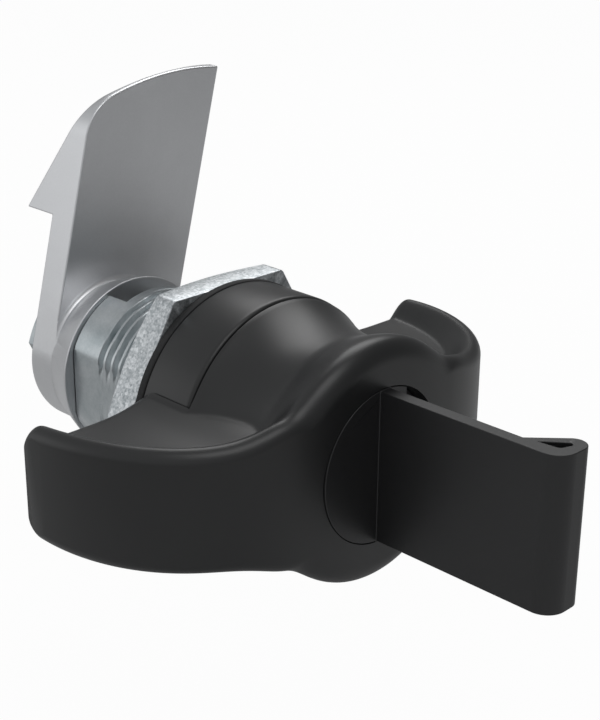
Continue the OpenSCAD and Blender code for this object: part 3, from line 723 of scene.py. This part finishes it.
@dataclass
class WingKnob:
    """The moulded knob: a round hub that runs into two wings with a raised rim round their front."""

    wing_reach: float = 30.9
    front: float = 24.9
    wing_back: float = 1.0
    wing_edge_h: float = 7.22
    wing_waist_h: float = 4.7
    hub_edge_r: float = 14.4
    hub_waist_r: float = 13.1
    hub_skirt_r: float = 15.2
    hub_back: float = -8.9
    tip_fall: float = 0.6
    fall_power: float = 4.0
    edge_round: float = 1.6
    hub_edge_round: float = 2.6
    back_round: float = 1.6
    plan_power: float = 3.25
    depth_power: float = 2.05
    blend_power: float = 6.0
    rim_flat: float = 1.3
    rim_fall: float = 3.9
    hub_rim_flat: float = 2.2
    hub_rim_fall: float = 6.8
    root_rise: float = 1.8
    waist_rise: float = 1.5
    root_at: float = 12.0
    root_spread: float = 5.0
    skirt_reach: float = 7.9
    mouth_r: float = 9.27
    mouth_depth: float = 3.2
    barrel_r: float = 7.55
    barrel_flange_r: float = 12.05
    barrel_flange_from: float = -11.05
    collar_gap_r: float = 15.65
    core_half_h: float = 2.1
    core_depth: float = 12.0
    core_wall: float = 4.2
    tip_share: float = 0.25  # part of each wing whose slices crowd towards the tip
    tip_start: float = 0.162  # angle of the first slice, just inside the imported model's tip

    def half_height(self, across: np.ndarray, depth: np.ndarray) -> np.ndarray:
        """Half height of the knob at a place in plan.

        Seen from above, the front is a superellipse, (x / reach)^p + (depth / full depth)^q = 1, and
        the distance to it is (1 - that sum) over the length of its gradient. A rim stands up along
        it and falls away behind as half a cosine, on the wings and on the hub. Towards the hub the
        wings rise as a bell curve of the distance from it. The hub is round, sqrt(r^2 - x^2), and is
        blended with the wing's height by a power mean. The edges drop as quarter rounds.

        Args:
            across: Places along X.
            depth: Depths in front of the wings' back, 0 at the back.

        Returns:
            The half height at each place.
        """
        full = self.front - self.wing_back
        u, v = np.abs(across) / self.wing_reach, np.maximum(depth, 0) / full
        gradient = np.hypot(self.plan_power / self.wing_reach * u ** (self.plan_power - 1),
                            self.depth_power / full * v ** (self.depth_power - 1))
        distance = np.maximum(1 - u**self.plan_power - v**self.depth_power, 0) / np.maximum(gradient, 1e-9)
        skirt_from = -self.front + self.skirt_reach
        skirt = np.clip((-self.wing_back - depth - skirt_from) / (self.hub_back - skirt_from), 0, 1) ** 2
        root = np.exp(-((np.maximum(0, np.abs(across) - self.root_at) / self.root_spread) ** 2))
        back_drop = self.quarter_drop(self.back_round, depth)
        hub_rim = self.rim_share(distance, self.hub_rim_flat, self.hub_rim_fall)
        hub = (self.hub_waist_r + (self.hub_edge_r - self.hub_waist_r) * hub_rim
               + (self.hub_skirt_r - self.hub_waist_r) * skirt
               - self.quarter_drop(self.hub_edge_round, distance) - back_drop)
        low = self.wing_waist_h + self.waist_rise * root
        high = self.wing_edge_h + self.root_rise * root - self.tip_fall * (1 - v) ** self.fall_power
        wing = (low + (high - low) * self.rim_share(distance, self.rim_flat, self.rim_fall)
                - self.quarter_drop(self.edge_round, distance) - back_drop)
        round_hub = np.maximum(hub**2 - across**2, 0) ** (self.blend_power / 2)
        return (round_hub + wing**self.blend_power) ** (1 / self.blend_power)

    @staticmethod
    def rim_share(distance: np.ndarray, flat: float, fall: float) -> np.ndarray:
        """One up to flat from the edge, then half a cosine down to none over the length of the fall."""
        return (1 + np.cos(np.pi * np.clip((distance - flat) / fall, 0, 1))) / 2

    @staticmethod
    def quarter_drop(radius: float, distance: np.ndarray) -> np.ndarray:
        """How far a quarter round falls at a distance from its edge: r - sqrt(r^2 - (r - d)^2)."""
        inside = radius - np.clip(distance, 0, radius)
        return radius - np.sqrt(radius**2 - inside**2)

    def outer_skin(self) -> Piece:
        """The outer surface, as slices side by side along X.

        Slices crowd towards the tips as a cosine. In each one, the points crowd as a cosine towards
        its front and its back edge, where the rounds are.

        Returns:
            The closed outer skin.
        """
        full = self.front - self.wing_back
        crowd = 1 - np.cos(np.linspace(self.tip_start, np.pi / 2, 44))
        tip = self.wing_reach * (1 - self.tip_share * crowd)
        inner = np.linspace(tip[-1], 0, 110)[1:]
        across = np.concatenate([-tip, -inner, inner[-2::-1], tip[::-1]])[:, None]
        u = np.abs(across) / self.wing_reach
        inside = 1 - u**self.plan_power
        reach = full * inside ** (1 / self.depth_power)
        slope = (self.plan_power / self.depth_power * u ** (self.plan_power - 1)
                 * full / self.wing_reach * inside ** (1 / self.depth_power - 1))
        front = np.minimum(self.hub_edge_round * np.hypot(1, slope), reach / 2)
        back = np.minimum(self.back_round, reach / 4)
        ease = 1 - np.cos(np.linspace(0, np.pi / 2, 15))[None]
        middle = (reach - front - back) * np.linspace(0, 1, 50)[None, 1:-1]
        depth = np.concatenate([reach - front * ease, reach - front - middle, back * ease[:, ::-1]], 1)
        height = self.half_height(across, depth)
        x, y = across + 0 * depth, -self.wing_back - depth
        upper, lower = np.stack([x, y, height], -1), np.stack([x, y, -height], -1)
        return skin("wing_knob_moulding", np.concatenate([upper, lower[:, ::-1]], 1))

    def hollow(self) -> Piece:
        """The turned space inside the hub: mouth, lock bore, flange seat and the collar's room.

        Returns:
            The space, as a solid.
        """
        mouth_floor, lip, lip_sink = -self.front + self.mouth_depth, 0.25, 0.15
        round_lip = arc((self.mouth_r + lip, -self.front + lip_sink), lip, 270, 180, 6)
        ahead, behind = -self.front - 4, 6.0
        profile = [(self.mouth_r + lip + 0.4, ahead), *round_lip.tolist(), (self.mouth_r, mouth_floor),
                   (self.barrel_r, mouth_floor), (self.barrel_r, self.barrel_flange_from),
                   (self.barrel_flange_r, self.barrel_flange_from), (self.barrel_flange_r, self.hub_back),
                   (self.collar_gap_r, self.hub_back), (self.collar_gap_r, behind)]
        return spun("hollow", np.array(profile))

    def build(self) -> None:
        """Builds the knob: the outer skin, less its hollow and the cores in the backs of the wings."""
        piece = combine(self.outer_skin(), self.hollow(), Join.CUT)
        near, tip = self.collar_gap_r + 2.4, self.wing_reach - self.core_wall - self.core_half_h
        half = self.core_half_h
        core = np.concatenate([[(near, -half)], arc((tip, 0), half, -90, 90), [(near, half)]])
        for side in (1, -1):
            tool = prism("core", core * (side, 1), -self.wing_back - self.core_depth, 2, 1)
            combine(piece, tool, Join.CUT)
        place(shade(piece, 40), Body.HANDLE, "black_plastic", NYLON.material(), "wing_knob")


@dataclass
class CamArm:
    """The cam: a cast arm with a slanted hook behind it and a round boss in front."""

    tilt: float = 14.2
    half_w: float = 9.9
    front: float = 22.8
    thickness: float = 4.4
    reach: float = 40.0
    top_r: float = 41.5
    top_x: float = 14.7
    corner_r: float = 6.5
    foot_r: float = 9.85
    boss_front: float = 18.05
    boss_r: float = 11.4
    boss_rear_r: float = 9.89
    boss_fillet: float = 0.8
    boss_edge: float = 0.16
    bore_r: float = 8.05
    seat_depth: float = 0.85
    square: float = 11.05
    hook_at: float = 19.4
    hook_h: float = 5.25
    ramp_end: float = 33.7
    tip_t: float = 0.9
    slant: float = 21.7
    lug_from: float = 2.5
    lug_to: float = 21.5
    lug_front: float = 14.5
    lug_r: float = 10.6
    lug_inner_r: float = 9.2
    edge_round: float = 0.25

    def outline(self) -> np.ndarray:
        """The arm seen from the front, before it is tilted.

        The top edge is an arc about a centre right of the arm, so that the long corner is sharp, and
        the short corner is an arc inside it that also touches the arm's left side.

        Returns:
            Points (x, z), from the foot round the right side.
        """
        tip_z = math.sqrt(self.reach**2 - self.half_w**2)
        centre = (self.top_x, tip_z - math.sqrt(self.top_r**2 - (self.top_x - self.half_w) ** 2))
        corner_x = -self.half_w + self.corner_r
        corner_z = centre[1] + math.sqrt((self.top_r - self.corner_r) ** 2 - (corner_x - self.top_x) ** 2)
        start = math.degrees(math.atan2(tip_z - centre[1], self.half_w - centre[0]))
        meet = math.degrees(math.atan2(corner_z - centre[1], corner_x - centre[0]))
        foot = arc((0, 0), self.half_w, 180, 360, 48) * (1, self.foot_r / self.half_w)
        top = arc(centre, self.top_r, start, meet, 40)
        corner = arc((corner_x, corner_z), self.corner_r, meet, 180, 20)
        return np.concatenate([foot, top, corner[1:]])

    def arm(self) -> Piece:
        """The arm and hook: the outline's prism, where it meets a slanted prism of the side view.

        Returns:
            The arm, at its tilt.
        """
        back = self.front + self.thickness
        piece = prism("cam_casting", self.outline(), self.front - 0.001, back + self.hook_h + 1, 1)
        tip, below, above = self.front + self.tip_t, -30, self.ramp_end + 9
        side = np.array([(self.front, below), (back, below), (back, self.hook_at),
                         (back + self.hook_h, self.hook_at), (tip, self.ramp_end), (tip, above),
                         (self.front, above)])
        tool = prism("side_view", side, -60, 60, 0)
        turn_mesh(tool, -self.slant)
        soften(combine(piece, tool, Join.COMMON), self.edge_round)
        turn_mesh(piece, self.tilt)
        return piece

    def boss(self) -> Piece:
        """The turned boss: a rounded rim, a side that narrows to the arm, and a seat for the spindle.

        Returns:
            The boss.
        """
        edge, root, sunk = self.boss_edge, self.front + 2 * self.edge_round, self.front + 1
        seat, core_r, within_r = self.boss_front + self.seat_depth, 0.5, 9.0
        rim = arc((self.boss_r - edge, self.boss_front + edge), edge, -90, 10, 6)
        side = [(self.boss_rear_r, self.front), (self.boss_rear_r, root), (within_r, root), (within_r, sunk)]
        inner = [(core_r, sunk), (core_r, seat), (self.bore_r, seat), (self.bore_r, self.boss_front)]
        return turned("boss", np.concatenate([rim, side, inner]))

    def flare(self) -> Piece:
        """The round between the boss and the arm's face, kept to where there is an arm.

        Returns:
            The round.
        """
        root, face, fillet, sunk = self.boss_rear_r, self.front, self.boss_fillet, self.front + 0.5
        curve = arc((root + fillet, face - fillet), fillet, 180, 90, 7)
        inner = [(root + fillet, sunk), (root - 1, sunk), (root - 1, face - fillet)]
        piece = turned("flare", np.concatenate([curve, inner]))
        within = prism("within", self.outline(), face - 2, face + 0.4, 1)
        turn_mesh(within, self.tilt)
        return combine(piece, within, Join.COMMON)

    def lug(self) -> Piece:
        """The stop lug, a short piece of a ring that runs in the sleeve's notch.

        Returns:
            The lug.
        """
        inner = arc((0, 0), self.lug_inner_r, self.lug_to, self.lug_from, 8)
        outer = arc((0, 0), self.lug_r, self.lug_from, self.lug_to, 8)
        return prism("lug", np.concatenate([outer, inner]), self.lug_front, self.boss_front + 0.5, 1)

    def build(self) -> None:
        """Builds and dresses the cam and the fasteners behind it."""
        piece = self.arm()
        combine(piece, self.flare(), Join.FUSE)
        combine(piece, combine(self.boss(), self.lug(), Join.FUSE), Join.FUSE)
        half = self.square / 2
        square = prism("square", rectangle((-half, -half), (half, half)), self.front - 6, self.front + 12, 1)
        combine(piece, square, Join.CUT)
        place(even(piece, 40), Body.HANDLE, "cam_metal", SATIN_ZINC.material(), "cam")
        dress(PLATED_STEEL.material(), "cam_screw", "cam_washer", "knob_screws")
        dress(TURNED_STEEL.material(), "spindle", "lock_bolt")
        dress(SPRING_STEEL.material(), "cam_lock_washer", "wave_washer", "retaining_ring", "plug_clip",
              "wafer_springs")


@dataclass
class KeyHead:
    """The key's head: a round foot in the knob's mouth and a flat handle with a folded loop."""

    half_t: float = 0.8
    half_h: float = 9.15
    face: float = -24.9
    foot_back: float = -22.7
    foot_r: float = 9.2
    foot_side: float = 3.6
    end: float = -49.1
    fold_r: float = 1.5
    end_r: float = 2.5
    fold_x: float = 3.1
    seam: float = -43.0
    edge_round: float = 0.1

    def outline(self) -> np.ndarray:
        """The handle seen from above, as points (x, y).

        It runs down the plain side, round the end in a wide arc and the fold's own, and back along
        the tangent from the second arc to the seam on the handle.

        Returns:
            The closed outline, which starts inside the foot.
        """
        low, centre_y = -self.half_t, self.end + self.fold_r
        to_seam = np.array([self.half_t - self.fold_x, self.seam - centre_y])
        length = np.linalg.norm(to_seam)
        touch = math.degrees(math.atan2(to_seam[1], to_seam[0]) - math.acos(self.fold_r / length))
        first = arc((low + self.end_r, self.end + self.end_r), self.end_r, 180, 270, 20)
        second = arc((self.fold_x, centre_y), self.fold_r, -90, touch, 24)
        inside, top = [(low, self.face + 0.6)], [(self.half_t, self.seam), (self.half_t, self.face + 0.6)]
        return np.concatenate([inside, first, second, top])

    def eye(self) -> Piece:
        """The drop-shaped hole in the fold."""
        drop = rounded([(1.05, -44.6), (3.25, -47.3), (2.85, -47.75), (1.35, -47.2)], [0.05, 0.3, 0.3, 0.45])
        return prism("eye", drop, -20, 20, 2)

    def build(self) -> None:
        """Builds the key's head and dresses the blade.

        The handle's corners lie inside the foot's circle, so that its rounds stay clear of the mouth.
        """
        handle = prism("key_handle", self.outline(), -self.half_h, self.half_h, 2)
        combine(handle, self.eye(), Join.CUT)
        disc = arc((0, 0), self.foot_r, 0, 360, 180)[:-1]
        foot = prism("foot", disc, self.face, self.foot_back, 1)
        beyond = 20
        corners = rectangle((self.foot_side, -beyond), (self.foot_side + beyond, beyond))
        trim = prism("trim", corners, self.face - 1, self.foot_back + 1, 1)
        combine(foot, trim, Join.CUT)
        combine(handle, foot, Join.FUSE)
        handle.name = "key_head_moulding"
        even(soften(handle, self.edge_round, 40), 50)
        place(handle, Body.KEY, "key_plastic", KEY_NYLON.material(), "key_head")
        dress(TURNED_STEEL.material(), "key_blade")


@dataclass
class LockCore:
    """The lock inside the knob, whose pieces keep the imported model's shapes."""

    def build(self) -> None:
        """Dresses the barrel, the plug and the wafers."""
        dress(PLAIN_ZINC.material(), "lock_barrel")
        # The plug is near black: painted shade for the knob's mouth recess, not a blackened finish.
        dress(PLUG_ZINC_PAINTED_SHADE.material(), "lock_plug")
        dress(BRASS.material(), "wafers")


@dataclass
class Studio:
    """The white studio: camera, floor, world and soft lamps."""

    image_px: tuple[int, int] = (600, 720)
    focal_px: float = 1523.6
    centre_px: tuple[float, float] = (326.7, 377.6)
    azimuth: float = -46.185
    elevation: float = 22.193
    roll: float = 0.903
    distance: float = 196.9
    target: tuple[float, float, float] = (16.69, 0.0, -1.50)
    sensor: float = 36.0
    floor_at: float = -34.0
    floor_half: float = 3000.0
    bright_side: tuple[float, float, float] = (-0.95, 0.1, 0.0)
    bright_level: float = 0.62
    dim_level: float = 0.13
    mirrored: float = 0.08  # how far a mirrored ray sees white, as the camera does
    floor_grey: float = 0.6
    floor_white: float = 0.97  # how far the camera sees the floor as white, which leaves its shadow
    lamps: tuple[tuple, ...] = (("top_lamp", (205, 145, 336), 270, 0.68),
                                ("front_lamp", (-60, -210, 360), 200, 0.28),
                                ("left_lamp", (-330, 300, 60), 340, 0.16))

    def camera(self) -> None:
        """The camera, turned about its own axis by the roll and shifted to the photograph's centre."""
        a, e, r = (math.radians(v) for v in (self.azimuth, self.elevation, self.roll))
        back = Vector((math.sin(a) * math.cos(e), -math.cos(a) * math.cos(e), math.sin(e)))
        right = Vector((math.cos(a), math.sin(a), 0))
        up = back.cross(right)
        axes = (math.cos(r) * right + math.sin(r) * up, -math.sin(r) * right + math.cos(r) * up, back)
        data = bpy.data.cameras.new("camera")
        long_side = max(self.image_px)
        data.sensor_width, data.lens = self.sensor, self.focal_px * self.sensor / long_side
        data.shift_x = (self.image_px[0] / 2 - self.centre_px[0]) / long_side
        data.shift_y = (self.centre_px[1] - self.image_px[1] / 2) / long_side
        data.clip_start, data.clip_end = 0.01, 20
        camera = bpy.data.objects.new("camera", data)
        spot = (Vector(self.target) + back * self.distance) * MM
        camera.matrix_world = Matrix.Translation(spot) @ Matrix(axes).transposed().to_4x4()
        bpy.context.scene.collection.objects.link(camera)
        bpy.context.scene.camera = camera

    def lamp(self, name: str, spot: tuple[float, float, float], size: float, watts: float) -> None:
        """Adds a square soft lamp that faces the latch.

        Args:
            name: Name of the lamp.
            spot: Its place in millimetres.
            size: Length of its side in millimetres.
            watts: Its power.
        """
        data = bpy.data.lights.new(name, "AREA")
        data.size, data.energy = size * MM, watts
        lamp = bpy.data.objects.new(name, data)
        lamp.location = Vector(spot) * MM
        lamp.rotation_mode = "QUATERNION"
        lamp.rotation_quaternion = Vector(spot).to_track_quat("Z", "Y")
        bpy.context.scene.collection.objects.link(lamp)

    def white_where_seen(self, tree: Tree, plain: Socket, share: float,
                         glow: str, end: str) -> None:
        """Mixes a plain shader with white light for rays that see it straight, mirrored or through glass.

        Args:
            tree: The floor's or the world's node tree.
            plain: The shader that lights and shades the object.
            share: How far such rays see white in place of the plain shader.
            glow: Kind of the node that gives the white light.
            end: Kind of the output node.
        """
        ray = add_node(tree, "ShaderNodeLightPath").outputs
        mirrored = maths(tree, "MAXIMUM", ray["Is Glossy Ray"], ray["Is Transmission Ray"])
        dimmed = maths(tree, "MULTIPLY", mirrored, self.mirrored)
        seen = maths(tree, "MULTIPLY", maths(tree, "MAXIMUM", ray["Is Camera Ray"], dimmed), share)
        white = add_node(tree, glow, {"Color": (1, 1, 1, 1), "Strength": 1.0})
        mix = add_node(tree, "ShaderNodeMixShader", links={0: seen, 1: plain, 2: white.outputs[0]})
        add_node(tree, end, links={"Surface": mix.outputs["Shader"]})

    def floor(self) -> None:
        """A plain pale floor well below the latch, which keeps its soft shadow."""
        half, grey, thickness = self.floor_half, self.floor_grey, 10
        corners = rectangle((-half, -half), (half, half))
        floor = prism("floor", corners, self.floor_at - thickness, self.floor_at, 2)
        material, tree, _ = new_material("pale_floor")
        matt = add_node(tree, "ShaderNodeBsdfDiffuse", {"Color": (grey, grey, grey, 1)})
        self.white_where_seen(tree, matt.outputs["BSDF"], self.floor_white, "ShaderNodeEmission",
                              "ShaderNodeOutputMaterial")
        floor.data.materials.append(material)

    def world(self) -> None:
        """A grey room, paler on the side of its windows, which the camera sees as white."""
        world = bpy.data.worlds.new("room")
        world.use_nodes = True
        world.node_tree.nodes.clear()
        way = add_node(world.node_tree, "ShaderNodeTexCoord")
        side = add_node(world.node_tree, "ShaderNodeVectorMath", {1: self.bright_side},
                        {0: way.outputs["Generated"]}, operation="DOT_PRODUCT")
        level = remap(world.node_tree, side.outputs["Value"], (self.dim_level, self.bright_level), -0.8, 0.8,
                      interpolation_type="SMOOTHSTEP")
        grey = add_node(world.node_tree, "ShaderNodeBackground", {"Color": (0.97, 0.985, 1.0, 1)},
                        {"Strength": level})
        self.white_where_seen(world.node_tree, grey.outputs["Background"], 1.0, "ShaderNodeBackground",
                              "ShaderNodeOutputWorld")
        bpy.context.scene.world = world

    def build(self) -> None:
        """Sets up the camera, the room and the lamps."""
        bpy.context.scene.view_settings.view_transform = "Standard"
        self.camera()
        self.floor()
        self.world()
        for name, spot, size, watts in self.lamps:
            self.lamp(name, spot, size, watts)


def main() -> None:
    """Builds the studio and every sub-assembly in order."""
    logging.basicConfig(level=logging.INFO, format="%(name)s: %(message)s")
    for part in (Studio(), PanelSeat(), WingKnob(), CamArm(), KeyHead(), LockCore()):
        part.build()
        LOG.info("built %s", type(part).__name__)


if __name__ == "__main__":
    main()
